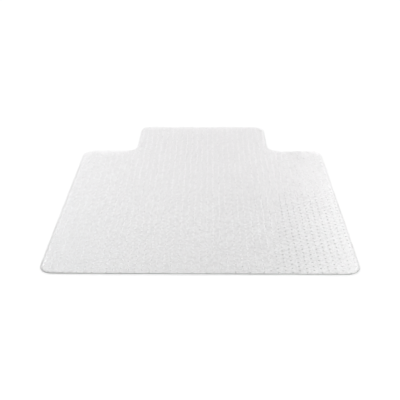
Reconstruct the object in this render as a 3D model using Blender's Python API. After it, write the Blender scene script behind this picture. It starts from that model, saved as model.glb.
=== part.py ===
"""Clear vinyl chair mat with a lip for under the desk and gripper studs for carpet.

Metres, +Z up. The floor is at z = 0, under the stud tips. +Y runs from the user's edge to the lip.
"""
from collections import namedtuple
from math import cos, hypot, pi, sin

import bmesh
import bpy
from mathutils import Matrix, Vector

INCH = 0.0254

# Outline
MAT_WIDTH = 45 * INCH
MAT_LENGTH = 53 * INCH
LIP_WIDTH = 25 * INCH
LIP_DEPTH = 12 * INCH
CORNER_RADIUS = 2 * INCH
ARC_STEPS = 8

# Sheet section: thin at the edge, rising over the bevelled rim to the full thickness
SHEET_THICKNESS = 0.0030
EDGE_THICKNESS = 0.0016
RIM_WIDTH = 0.0080

# Gripper studs, tapered to a flat tip. One in four of the moulded studs is modelled.
STUD_LENGTH = 0.0045
STUD_BASE_RADIUS = 0.00225
STUD_TIP_RADIUS = 0.0010
STUD_SIDES = 4
STUD_PITCH = 2 * INCH
STUD_FIRST_ROW = 0.0200
STUD_ROOT = 0.0004
STUD_EDGE_CLEARANCE = 0.0010

# Slices of the underside that carry the studs, set in shallow pockets
GAP = 0.0003
BACKING_THICKNESS = 0.0008
FIELD_MARGIN = 0.0070
PANEL_FIELD_SETBACK = INCH / 2
FIELD_SEAM = 0.0030
CUTTER_OVERSHOOT = 0.0010
WELD_DISTANCE = 0.00001

# Vinyl as it looks over a white floor
SHEET_COLOUR = (0.80, 0.80, 0.79)
SHEET_ROUGHNESS = 0.38
STUD_COLOUR = (0.76, 0.76, 0.75)
STUD_ROUGHNESS = 0.30

UP = Vector((0, 0, 1))
FRONT = -MAT_LENGTH / 2
BACK = MAT_LENGTH / 2
PANEL_BACK = BACK - LIP_DEPTH
UNDERSIDE = STUD_LENGTH

# A rounded rectangle under the sheet, centred across the mat
Field = namedtuple("Field", "half_width front back radius")

PANEL_FIELD = Field(
    half_width=MAT_WIDTH / 2 - FIELD_MARGIN,
    front=FRONT + FIELD_MARGIN,
    back=PANEL_BACK - PANEL_FIELD_SETBACK,
    radius=CORNER_RADIUS - FIELD_MARGIN,
)
LIP_FIELD = Field(
    half_width=LIP_WIDTH / 2 - FIELD_MARGIN,
    front=PANEL_FIELD.back + FIELD_SEAM,
    back=BACK - FIELD_MARGIN,
    radius=CORNER_RADIUS - FIELD_MARGIN,
)


def clear_scene():
    for thing in list(bpy.data.objects):
        bpy.data.objects.remove(thing, do_unlink=True)


def new_collection(name):
    collection = bpy.data.collections.new(name)
    bpy.context.scene.collection.children.link(collection)
    return collection


def vinyl(name, colour, roughness):
    material = bpy.data.materials.new(name)
    material.use_nodes = True
    shader = material.node_tree.nodes["Principled BSDF"]
    shader.inputs["Base Color"].default_value = (*colour, 1.0)
    shader.inputs["Roughness"].default_value = roughness
    shader.inputs["Metallic"].default_value = 0.0
    return material


def rounded_outline(corners, radius):
    """Points round an outline of right-angled corners, each turned into an arc."""
    points = []
    for index, corner in enumerate(corners):
        here = Vector(corner)
        to_last = (Vector(corners[index - 1]) - here).normalized()
        to_next = (Vector(corners[(index + 1) % len(corners)]) - here).normalized()
        centre = here + radius * (to_last + to_next)
        for step in range(ARC_STEPS + 1):
            turn = pi / 2 * step / ARC_STEPS
            points.append(centre - radius * (cos(turn) * to_next + sin(turn) * to_last))
    return points


def mat_outline():
    half = MAT_WIDTH / 2
    lip = LIP_WIDTH / 2
    corners = [
        (half, FRONT), (half, PANEL_BACK), (lip, PANEL_BACK), (lip, BACK),
        (-lip, BACK), (-lip, PANEL_BACK), (-half, PANEL_BACK), (-half, FRONT),
    ]
    return rounded_outline(corners, CORNER_RADIUS)


def field_outline(field, grow=0.0):
    half = field.half_width + grow
    front = field.front - grow
    back = field.back + grow
    corners = [(half, front), (half, back), (-half, back), (-half, front)]
    return rounded_outline(corners, field.radius + grow)


def field_holds(field, x, y, clearance):
    """True where a point lies inside the field, at least the clearance from its edge."""
    across = abs(x) - (field.half_width - field.radius)
    along = abs(y - (field.front + field.back) / 2) - ((field.back - field.front) / 2 - field.radius)
    outside = hypot(max(across, 0), max(along, 0))
    inside = min(max(across, along), 0)
    return outside + inside - field.radius <= -clearance


def plate(name, outline, bottom, top, collection):
    """A flat mesh plate between two heights, from a filled and extruded 2D curve."""
    curve = bpy.data.curves.new(name, "CURVE")
    curve.dimensions = "2D"
    curve.fill_mode = "BOTH"
    curve.extrude = (top - bottom) / 2
    spline = curve.splines.new("POLY")
    spline.points.add(len(outline) - 1)
    for point, place in zip(spline.points, outline):
        point.co = (place.x, place.y, 0, 1)
    spline.use_cyclic_u = True
    guide = bpy.data.objects.new(name + "_curve", curve)
    guide.location.z = (top + bottom) / 2
    collection.objects.link(guide)
    bpy.context.view_layer.update()

    solid = guide.evaluated_get(bpy.context.evaluated_depsgraph_get())
    mesh = bpy.data.meshes.new_from_object(solid)
    mesh.name = name
    welded = bmesh.new()
    welded.from_mesh(mesh)
    bmesh.ops.remove_doubles(welded, verts=welded.verts, dist=WELD_DISTANCE)
    bmesh.ops.recalc_face_normals(welded, faces=welded.faces)
    welded.to_mesh(mesh)
    welded.free()

    part = bpy.data.objects.new(name, mesh)
    part.matrix_world = guide.matrix_world
    collection.objects.link(part)
    bpy.data.objects.remove(guide, do_unlink=True)
    bpy.context.view_layer.update()
    return part


def make_cutter(cutter):
    cutter.hide_render = True
    cutter.display_type = "WIRE"


def add_boolean(part, operand, operation):
    modifier = part.modifiers.new(operand.name, "BOOLEAN")
    modifier.operation = operation
    modifier.solver = "EXACT"
    modifier.object = operand


def raise_rim(part):
    """Lift the top inside the rim, which leaves a sloping band all round the edge."""
    mesh = bmesh.new()
    mesh.from_mesh(part.data)
    mesh.normal_update()
    top = [face for face in mesh.faces if face.normal.angle(UP) < pi / 4]
    rise = SHEET_THICKNESS - EDGE_THICKNESS
    bmesh.ops.inset_region(mesh, faces=top, thickness=RIM_WIDTH, depth=rise, use_even_offset=True)
    mesh.to_mesh(part.data)
    mesh.free()


def stud_places(field):
    """Staggered lattice: every other column is shifted by half the pitch."""
    clearance = STUD_BASE_RADIUS + STUD_EDGE_CLEARANCE
    columns = int(MAT_WIDTH / 2 / STUD_PITCH)
    rows = int(MAT_LENGTH / STUD_PITCH) + 1
    for column in range(-columns, columns + 1):
        for row in range(rows):
            x = column * STUD_PITCH
            y = FRONT + STUD_FIRST_ROW + (row + (column % 2) / 2) * STUD_PITCH
            if field_holds(field, x, y, clearance):
                yield x, y


def build_studs(name, field, collection):
    height = STUD_LENGTH + STUD_ROOT
    studs = bmesh.new()
    for x, y in stud_places(field):
        bmesh.ops.create_cone(
            studs,
            cap_ends=True,
            segments=STUD_SIDES,
            radius1=STUD_TIP_RADIUS,
            radius2=STUD_BASE_RADIUS,
            depth=height,
            matrix=Matrix.Translation((x, y, height / 2)) @ Matrix.Rotation(pi / STUD_SIDES, 4, "Z"),
        )
    mesh = bpy.data.meshes.new(name)
    studs.to_mesh(mesh)
    studs.free()
    operand = bpy.data.objects.new(name, mesh)
    collection.objects.link(operand)
    make_cutter(operand)
    return operand


def build_sheet(parts, cutters):
    sheet = plate("mat_sheet", mat_outline(), UNDERSIDE, UNDERSIDE + EDGE_THICKNESS, parts)
    raise_rim(sheet)
    for name, field in (("panel_pocket", PANEL_FIELD), ("lip_pocket", LIP_FIELD)):
        ceiling = UNDERSIDE + BACKING_THICKNESS + GAP
        pocket = plate(name, field_outline(field, GAP), UNDERSIDE - CUTTER_OVERSHOOT, ceiling, cutters)
        make_cutter(pocket)
        add_boolean(sheet, pocket, "DIFFERENCE")
    return sheet


def build_stud_field(name, field, parts, cutters):
    backing = plate(name, field_outline(field), UNDERSIDE, UNDERSIDE + BACKING_THICKNESS, parts)
    add_boolean(backing, build_studs(name + "_cones", field, cutters), "UNION")
    return backing


def main():
    clear_scene()
    parts = new_collection("chair_mat")
    cutters = new_collection("chair_mat_cutters")
    frame = bpy.data.objects.new("chair_mat_frame", None)
    parts.objects.link(frame)

    sheet = build_sheet(parts, cutters)
    sheet.data.materials.append(vinyl("sheet_vinyl", SHEET_COLOUR, SHEET_ROUGHNESS))
    panel_studs = build_stud_field("panel_grip_studs", PANEL_FIELD, parts, cutters)
    panel_studs.data.materials.append(vinyl("panel_stud_vinyl", STUD_COLOUR, STUD_ROUGHNESS))
    lip_studs = build_stud_field("lip_grip_studs", LIP_FIELD, parts, cutters)
    lip_studs.data.materials.append(vinyl("lip_stud_vinyl", STUD_COLOUR, STUD_ROUGHNESS))
    for part in (sheet, panel_studs, lip_studs):
        part.parent = frame


main()
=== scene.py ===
"""Looks of the clear vinyl chair mat: pebbled sheet with a bevelled rim, and moulded gripper studs."""

from math import cos, pi, radians, sin

import bmesh
import bpy
from mathutils import Matrix, Vector


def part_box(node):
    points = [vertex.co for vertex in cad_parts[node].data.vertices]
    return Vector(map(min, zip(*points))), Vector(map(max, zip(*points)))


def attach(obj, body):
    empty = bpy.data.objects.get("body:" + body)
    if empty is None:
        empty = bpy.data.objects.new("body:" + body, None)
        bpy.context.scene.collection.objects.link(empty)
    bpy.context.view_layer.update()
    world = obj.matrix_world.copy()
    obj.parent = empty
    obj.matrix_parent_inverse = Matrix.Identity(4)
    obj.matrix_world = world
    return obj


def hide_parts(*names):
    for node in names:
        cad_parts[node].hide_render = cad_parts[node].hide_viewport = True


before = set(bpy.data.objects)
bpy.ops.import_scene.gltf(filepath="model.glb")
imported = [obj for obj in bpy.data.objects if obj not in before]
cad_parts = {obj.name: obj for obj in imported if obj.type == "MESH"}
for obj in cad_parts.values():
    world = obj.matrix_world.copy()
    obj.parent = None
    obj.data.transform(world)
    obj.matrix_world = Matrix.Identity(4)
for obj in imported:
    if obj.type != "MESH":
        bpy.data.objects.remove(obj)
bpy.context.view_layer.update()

INCH = 0.0254

# Outline, as in the solids
SHEET_LOW, SHEET_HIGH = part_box("mat_sheet")
LIP_HALF = 25 * INCH / 2
LIP_DEPTH = 12 * INCH
CORNER_RADIUS = 2 * INCH
ARC_STEPS = 20

FRONT = SHEET_LOW.y
BACK = SHEET_HIGH.y
HALF_WIDTH = SHEET_HIGH.x
PANEL_BACK = BACK - LIP_DEPTH
UNDERSIDE = SHEET_LOW.z
TOP = SHEET_HIGH.z

# Rim section: a small round at the edge, then a slope that eases into the flat top
RIM_WIDTH = 0.0080
RIM_STEPS = 6
RIM_EASE = 1.3
EDGE_THICKNESS = 0.0016
EDGE_ROUND = 0.0005
EDGE_STEPS = 3
FLAT_BORDER = 0.0010

# Gripper studs: the full staggered lattice
STUD_PITCH = 1 * INCH
STUD_FIRST_ROW = 0.0200
STUD_BASE_RADIUS = 0.00225
STUD_TIP_RADIUS = 0.0010
STUD_TIP_ROUND = 0.0003
STUD_FLARE = ((0.72, 0.80), (0.82, 0.93))
STUD_ROOT_GAP = 0.00002
STUD_SEGMENTS = 10
STUD_MARGIN = 0.0060
LIP_FIELD_FRONT = PANEL_BACK - INCH / 2

# Pebbled skin of the top and the rim's slope, with a smooth round spot above each stud
PEBBLE_SCALE = 190.0
PEBBLE_HEIGHT = 0.00052
PEBBLE_UNEVENNESS = (0.3, 1.7)
PEBBLE_TONE = (0.76, 1.0)
SKIN_CLOUD_SCALE = 80.0
SKIN_CLOUD_TONE = (0.98, 1.0)
SKIN_ROUGHNESS = (0.28, 0.33)
SPOT_RADIUS = 0.0029
SPOT_FADE = 0.0012
SPOT_ROUGHNESS = 0.08
SPOT_COLOUR = (0.99, 0.99, 0.99, 1)

# Smooth vinyl of the edge and the underside, and of the studs
VINYL_IOR = 1.5
SMOOTH_TONE = (0.77, 0.78)
SMOOTH_ROUGHNESS = (0.08, 0.13)
STUD_IOR = 1.2
STUD_TONE = (0.97, 0.98)
STUD_ROUGHNESS = (0.12, 0.17)
SMOOTH_CLOUD_SCALE = 60.0
SMOOTH_WAVE_HEIGHT = 0.0002

# Camera, fitted to the outline in the 400 x 400 photograph
IMAGE_SIZE = 400
FOCAL_PIXELS = 666
SENSOR_WIDTH = 36.0
CAMERA_PLACE = Vector((0.033, FRONT - 1.929, TOP + 1.349))
CAMERA_PITCH = radians(28.68)
CAMERA_YAW = radians(0.87)
CAMERA_ROLL = radians(-0.27)

# Floor, dome and softboxes
FLOOR_SIZE = 60.0
FLOOR_TONE = (0.945, 0.955)
FLOOR_ROUGHNESS = (0.85, 0.95)
FLOOR_CLOUD_SCALE = 3.0
FLOOR_WAVE_HEIGHT = 0.0005
DOME_LEVEL = 1.08
HORIZON_LEVEL = 0.4
DOME_FADE = (radians(5), radians(13))
WALL_DISTANCE = 12.0
WHITE = (1, 1, 1)
ROSE_WHITE = (1.0, 0.93, 0.965)
BLUE_WHITE = (0.95, 0.98, 1.0)


def rounded_outline(inset):
    """Points round the T outline, moved inwards, with every corner turned into an arc."""
    half = HALF_WIDTH - inset
    lip = LIP_HALF - inset
    front = FRONT + inset
    panel_back = PANEL_BACK - inset
    back = BACK - inset
    corners = [
        (half, front, 1), (half, panel_back, 1), (lip, panel_back, -1), (lip, back, 1),
        (-lip, back, 1), (-lip, panel_back, -1), (-half, panel_back, 1), (-half, front, 1),
    ]
    points = []
    for index, (x, y, bulge) in enumerate(corners):
        radius = CORNER_RADIUS - bulge * inset
        here = Vector((x, y))
        to_last = (Vector(corners[index - 1][:2]) - here).normalized()
        to_next = (Vector(corners[(index + 1) % len(corners)][:2]) - here).normalized()
        centre = here + radius * (to_last + to_next)
        for step in range(ARC_STEPS + 1):
            turn = pi / 2 * step / ARC_STEPS
            points.append(centre - radius * (cos(turn) * to_next + sin(turn) * to_last))
    return points


def rim_section():
    """Inset and height of each ring, from the underside round the edge and up to the flat top."""
    rings = [(RIM_WIDTH, UNDERSIDE), (EDGE_ROUND + FLAT_BORDER, UNDERSIDE)]
    edge_top = UNDERSIDE + EDGE_THICKNESS
    for step in range(EDGE_STEPS + 1):
        turn = pi / 2 * step / EDGE_STEPS
        rings.append((EDGE_ROUND * (1 - sin(turn)), UNDERSIDE + EDGE_ROUND * (1 - cos(turn))))
    for step in range(EDGE_STEPS + 1):
        turn = pi / 2 * step / EDGE_STEPS
        rings.append((EDGE_ROUND * (1 - cos(turn)), edge_top - EDGE_ROUND * (1 - sin(turn))))
    for step in range(1, RIM_STEPS + 1):
        share = step / RIM_STEPS
        rise = 1 - (1 - share) ** RIM_EASE
        inset = EDGE_ROUND + (RIM_WIDTH - EDGE_ROUND) * share
        rings.append((inset, edge_top + (TOP - edge_top) * rise))
    rings.append((RIM_WIDTH + FLAT_BORDER, TOP))
    return rings


def new_piece(name, mesh, materials):
    piece = bpy.data.objects.new(name, mesh)
    bpy.context.scene.collection.objects.link(piece)
    for material in materials:
        mesh.materials.append(material)
    return piece


def build_sheet(pebbled, smooth):
    """Pebbled on the flat top and the rim's slope, smooth on the edge and the underside."""
    mesh = bmesh.new()
    loops = []
    for inset, height in rim_section():
        loops.append([mesh.verts.new((p.x, p.y, height)) for p in rounded_outline(inset)])
    rim_start = len(loops) - RIM_STEPS - 2
    for ring, (lower, upper) in enumerate(zip(loops, loops[1:])):
        for index in range(len(lower)):
            after = (index + 1) % len(lower)
            face = mesh.faces.new((lower[index], lower[after], upper[after], upper[index]))
            face.material_index = 1 if ring < rim_start else 0
    mesh.faces.new(loops[-1])
    mesh.faces.new(reversed(loops[0])).material_index = 1
    mesh.normal_update()
    bmesh.ops.triangulate(mesh, faces=[face for face in mesh.faces if len(face.verts) > 4])
    bmesh.ops.recalc_face_normals(mesh, faces=mesh.faces)
    data = bpy.data.meshes.new("vinyl_sheet")
    mesh.to_mesh(data)
    mesh.free()
    data.shade_smooth()
    return new_piece("vinyl_sheet", data, (pebbled, smooth))


def stud_template():
    """One stud turned about Z, tip down on the floor, its root just under the sheet.

    The flare gives shares of the base radius, each at a share of the root's height.
    """
    root = UNDERSIDE - STUD_ROOT_GAP
    profile = [(STUD_TIP_RADIUS - STUD_TIP_ROUND, 0.0), (STUD_TIP_RADIUS, STUD_TIP_ROUND)]
    profile += [(STUD_BASE_RADIUS * width, root * height) for width, height in STUD_FLARE]
    profile.append((STUD_BASE_RADIUS, root))
    mesh = bmesh.new()
    loops = []
    for radius, height in profile:
        turns = [2 * pi * step / STUD_SEGMENTS for step in range(STUD_SEGMENTS)]
        loops.append([mesh.verts.new((radius * cos(t), radius * sin(t), height)) for t in turns])
    for lower, upper in zip(loops, loops[1:]):
        for index in range(STUD_SEGMENTS):
            after = (index + 1) % STUD_SEGMENTS
            mesh.faces.new((lower[index], lower[after], upper[after], upper[index]))
    mesh.faces.new(loops[-1])
    mesh.faces.new(reversed(loops[0]))
    bmesh.ops.recalc_face_normals(mesh, faces=mesh.faces)
    data = bpy.data.meshes.new("stud_template")
    mesh.to_mesh(data)
    mesh.free()
    return data


def inside(x, y, outline):
    """True where a point lies inside a closed outline, by counting the crossings to one side."""
    held = False
    for a, b in zip(outline, outline[1:] + outline[:1]):
        if (a.y > y) != (b.y > y) and x < a.x + (y - a.y) * (b.x - a.x) / (b.y - a.y):
            held = not held
    return held


def stud_places():
    """Staggered lattice over the whole mat: odd columns are shifted by half the pitch."""
    outline = rounded_outline(STUD_MARGIN)
    columns = int(HALF_WIDTH / STUD_PITCH)
    rows = int((BACK - FRONT) / STUD_PITCH) + 1
    for column in range(-columns, columns + 1):
        for row in range(rows):
            x = column * STUD_PITCH
            y = FRONT + STUD_FIRST_ROW + (row - (column % 2) / 2) * STUD_PITCH
            if inside(x, y, outline):
                yield x, y


def build_studs(name, places, material):
    template = stud_template()
    mesh = bmesh.new()
    last = Vector((0, 0, 0))
    for x, y in places:
        here = Vector((x, y, 0))
        template.transform(Matrix.Translation(here - last))
        last = here
        mesh.from_mesh(template)
    bpy.data.meshes.remove(template)
    data = bpy.data.meshes.new(name)
    mesh.to_mesh(data)
    mesh.free()
    data.shade_smooth()
    return new_piece(name, data, [material])


class Nodes:
    """Short forms for building one material's node tree round its Principled shader."""

    def __init__(self, name):
        self.material = bpy.data.materials.new(name)
        self.material.use_nodes = True
        self.tree = self.material.node_tree
        self.shader = self.tree.nodes["Principled BSDF"]

    def put(self, value, socket):
        """Links a socket, or sets a plain value."""
        if isinstance(value, bpy.types.NodeSocket):
            self.tree.links.new(value, socket)
        else:
            socket.default_value = value

    def fill(self, node, inputs):
        for key, value in inputs.items():
            self.put(value, node.inputs[key.replace("_", " ")])

    def add(self, kind, settings=None, **inputs):
        node = self.tree.nodes.new("ShaderNode" + kind)
        for key, value in (settings or {}).items():
            setattr(node, key, value)
        self.fill(node, inputs)
        return node

    def calculate(self, kind, operation, *values):
        """A Math or VectorMath node, whose inputs are filled in order."""
        node = self.add(kind, {"operation": operation})
        for socket, value in zip(node.inputs, values):
            self.put(value, socket)
        return next(output for output in node.outputs if output.enabled)

    def spread(self, value, low, high):
        """A noise value, which stays near one half, spread over a range."""
        node = self.add("MapRange", From_Min=0.3, From_Max=0.7, To_Min=low, To_Max=high, Value=value)
        return node.outputs["Result"]

    def grey(self, value, dark, light):
        """A grey between two levels, by a noise value that stays near one half."""
        ramp = self.add("ValToRGB", Fac=value)
        for element, place, level in zip(ramp.color_ramp.elements, (0.3, 0.7), (dark, light)):
            element.position = place
            element.color = (level, level, level, 1)
        return ramp.outputs["Color"]


def stud_distance(nodes, place):
    """Distance across the sheet to the axis of the nearest stud."""
    cell = Vector((2 * STUD_PITCH, STUD_PITCH, 1))
    flat = nodes.calculate("VectorMath", "MULTIPLY", place, (1, 1, 0))
    ways = []
    for x, y in ((0, 0), (STUD_PITCH, STUD_PITCH / 2)):
        shifted = nodes.calculate("VectorMath", "SUBTRACT", flat, (x, FRONT + STUD_FIRST_ROW + y, 0))
        wrapped = nodes.calculate("VectorMath", "WRAP", shifted, cell / 2, -cell / 2)
        ways.append(nodes.calculate("VectorMath", "LENGTH", wrapped))
    return nodes.calculate("Math", "MINIMUM", *ways)


def pebbled_material():
    """Clear vinyl with a fine pebble, smooth in a small round spot above each stud."""
    nodes = Nodes("pebbled_vinyl")
    place = nodes.add("TexCoord").outputs["Object"]
    cells = nodes.add("TexVoronoi", {"voronoi_dimensions": "2D"}, Vector=place, Scale=PEBBLE_SCALE)
    mottle = cells.outputs["Color"]
    cloud = nodes.add("TexNoise", Vector=place, Scale=SKIN_CLOUD_SCALE, Detail=2.0).outputs["Fac"]
    skin = nodes.add(
        "MapRange", {"interpolation_type": "SMOOTHSTEP"},
        Value=stud_distance(nodes, place), From_Min=SPOT_RADIUS, From_Max=SPOT_RADIUS + SPOT_FADE,
    ).outputs["Result"]

    unevenness = nodes.spread(mottle, *PEBBLE_UNEVENNESS)
    depth = nodes.calculate("Math", "MULTIPLY", cells.outputs["Distance"], unevenness)
    bump = nodes.add("Bump", Height=depth, Strength=skin, Distance=PEBBLE_HEIGHT)
    grain = nodes.grey(mottle, *PEBBLE_TONE)
    shade = nodes.grey(cloud, *SKIN_CLOUD_TONE)
    tone = nodes.add("MixRGB", {"blend_type": "MULTIPLY"}, Fac=1.0, Color1=grain, Color2=shade)
    colour = nodes.add("MixRGB", Fac=skin, Color1=SPOT_COLOUR, Color2=tone.outputs["Color"])
    skin_roughness = nodes.spread(cloud, *SKIN_ROUGHNESS)
    rough = nodes.add("MapRange", Value=skin, To_Min=SPOT_ROUGHNESS, To_Max=skin_roughness)
    nodes.fill(nodes.shader, {
        "Base_Color": colour.outputs["Color"],
        "Roughness": rough.outputs["Result"],
        "Normal": bump.outputs["Normal"],
        "IOR": VINYL_IOR,
        "Transmission_Weight": 1.0,
    })
    return nodes.material


def smooth_material(name, tone, roughness, ior):
    """Clear vinyl as it leaves the mould, with a faint unevenness."""
    nodes = Nodes(name)
    place = nodes.add("TexCoord").outputs["Object"]
    cloud = nodes.add("TexNoise", Vector=place, Scale=SMOOTH_CLOUD_SCALE, Detail=3.0).outputs["Fac"]
    bump = nodes.add("Bump", Height=cloud, Strength=0.4, Distance=SMOOTH_WAVE_HEIGHT)
    nodes.fill(nodes.shader, {
        "Base_Color": nodes.grey(cloud, *tone),
        "Roughness": nodes.spread(cloud, *roughness),
        "Normal": bump.outputs["Normal"],
        "IOR": ior,
        "Transmission_Weight": 1.0,
    })
    return nodes.material


def floor_material():
    """Pale studio floor, very slightly uneven in tone and surface."""
    nodes = Nodes("pale_floor")
    place = nodes.add("TexCoord").outputs["Object"]
    cloud = nodes.add("TexNoise", Vector=place, Scale=FLOOR_CLOUD_SCALE, Detail=4.0).outputs["Fac"]
    bump = nodes.add("Bump", Height=cloud, Strength=0.1, Distance=FLOOR_WAVE_HEIGHT)
    nodes.fill(nodes.shader, {
        "Base_Color": nodes.grey(cloud, *FLOOR_TONE),
        "Roughness": nodes.spread(cloud, *FLOOR_ROUGHNESS),
        "Normal": bump.outputs["Normal"],
        "Specular_IOR_Level": 0.0,
    })
    return nodes.material


def build_floor():
    bpy.ops.mesh.primitive_plane_add(size=FLOOR_SIZE, location=(0, 0, 0))
    floor = bpy.context.object
    floor.name = "floor"
    floor.data.materials.append(floor_material())


def build_camera():
    data = bpy.data.cameras.new("camera")
    data.sensor_width = SENSOR_WIDTH
    data.lens = FOCAL_PIXELS / IMAGE_SIZE * SENSOR_WIDTH
    camera = bpy.data.objects.new("camera", data)
    turn = (
        Matrix.Rotation(CAMERA_YAW, 4, "Z")
        @ Matrix.Rotation(pi / 2 - CAMERA_PITCH, 4, "X")
        @ Matrix.Rotation(CAMERA_ROLL, 4, "Z")
    )
    camera.matrix_world = Matrix.Translation(CAMERA_PLACE) @ turn
    bpy.context.scene.collection.objects.link(camera)
    bpy.context.scene.camera = camera


def soft_light(name, place, target, size, radiance, colour=WHITE, on_floor=False):
    """A softbox of an even radiance that the mat mirrors. It also lights the floor if asked."""
    data = bpy.data.lights.new(name, "AREA")
    data.shape = "RECTANGLE"
    data.size, data.size_y = size
    data.energy = radiance * pi * data.size * data.size_y
    data.color = colour
    light = bpy.data.objects.new(name, data)
    aim = (Vector(target) - Vector(place)).to_track_quat("-Z", "Y")
    light.matrix_world = Matrix.Translation(place) @ aim.to_matrix().to_4x4()
    light.visible_transmission = False
    light.visible_diffuse = on_floor
    bpy.context.scene.collection.objects.link(light)


def build_dome():
    """A bright even dome that darkens near the horizon, which the back edges of the mat mirror."""
    world = bpy.data.worlds.new("studio")
    world.use_nodes = True
    bpy.context.scene.world = world
    nodes = world.node_tree.nodes
    links = world.node_tree.links
    parts = nodes.new("ShaderNodeSeparateXYZ")
    links.new(nodes.new("ShaderNodeTexCoord").outputs["Generated"], parts.inputs["Vector"])
    fade = nodes.new("ShaderNodeMapRange")
    fade.interpolation_type = "SMOOTHSTEP"
    fade.inputs["From Min"].default_value = sin(DOME_FADE[0])
    fade.inputs["From Max"].default_value = sin(DOME_FADE[1])
    fade.inputs["To Min"].default_value = HORIZON_LEVEL
    fade.inputs["To Max"].default_value = DOME_LEVEL
    links.new(parts.outputs["Z"], fade.inputs["Value"])
    links.new(fade.outputs["Result"], nodes["Background"].inputs["Strength"])
    nodes["Background"].inputs["Color"].default_value = (1, 1, 1, 1)


def wall_light(name, x, z, size, radiance, colour=WHITE):
    """An upright softbox behind the mat that faces forwards."""
    soft_light(name, (x, WALL_DISTANCE, z), (x, 0, z), size, radiance, colour)


def key_light(name, place, size, radiance):
    """A small bright softbox that faces the middle of the mat."""
    soft_light(name, place, (0, 0, 0), size, radiance)


def build_light():
    """The dome lights the floor, and the mat's top mirrors the softboxes."""
    build_dome()
    wall_light("low_wall", -0.45, 5.55, (10.1, 1.9), 3.7, ROSE_WHITE)
    wall_light("high_wall", -0.65, 8.5, (4.7, 3.8), 4.8)
    wall_light("left_wall", -4.0, 8.8, (3.0, 7.6), 4.4, BLUE_WHITE)
    key_light("left_key", (-5.2, 11.9, 8.6), (1.2, 2.0), 16)
    key_light("near_key", (5.0, WALL_DISTANCE, 7.7), (1.2, 2.0), 60)
    key_light("high_key", (6.2, WALL_DISTANCE, 13.6), (1.0, 1.6), 45)
    soft_light("top_softbox", (0, 0.9, 2.6), (0, -0.67, 0), (2.5, 0.8), 2.9)
    soft_light("front_softbox", (0, -6, 13), (0, 0.5, 0), (8, 6), 0.8, on_floor=True)
    bpy.context.scene.view_settings.view_transform = "Standard"


def main():
    build_camera()
    build_light()
    build_floor()

    smooth_vinyl = smooth_material("smooth_vinyl", SMOOTH_TONE, SMOOTH_ROUGHNESS, VINYL_IOR)
    sheet = build_sheet(pebbled_material(), smooth_vinyl)
    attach(sheet, "root")
    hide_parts("mat_sheet")

    stud_vinyl = smooth_material("moulded_stud_vinyl", STUD_TONE, STUD_ROUGHNESS, STUD_IOR)
    fields = {"panel": [], "lip": []}
    for x, y in stud_places():
        on_lip = y > LIP_FIELD_FRONT and abs(x) < LIP_HALF
        fields["lip" if on_lip else "panel"].append((x, y))
    for field, places in fields.items():
        studs = build_studs(field + "_studs", places, stud_vinyl)
        node = field + "_grip_studs"
        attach(studs, "root")
        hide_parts(node)


main()
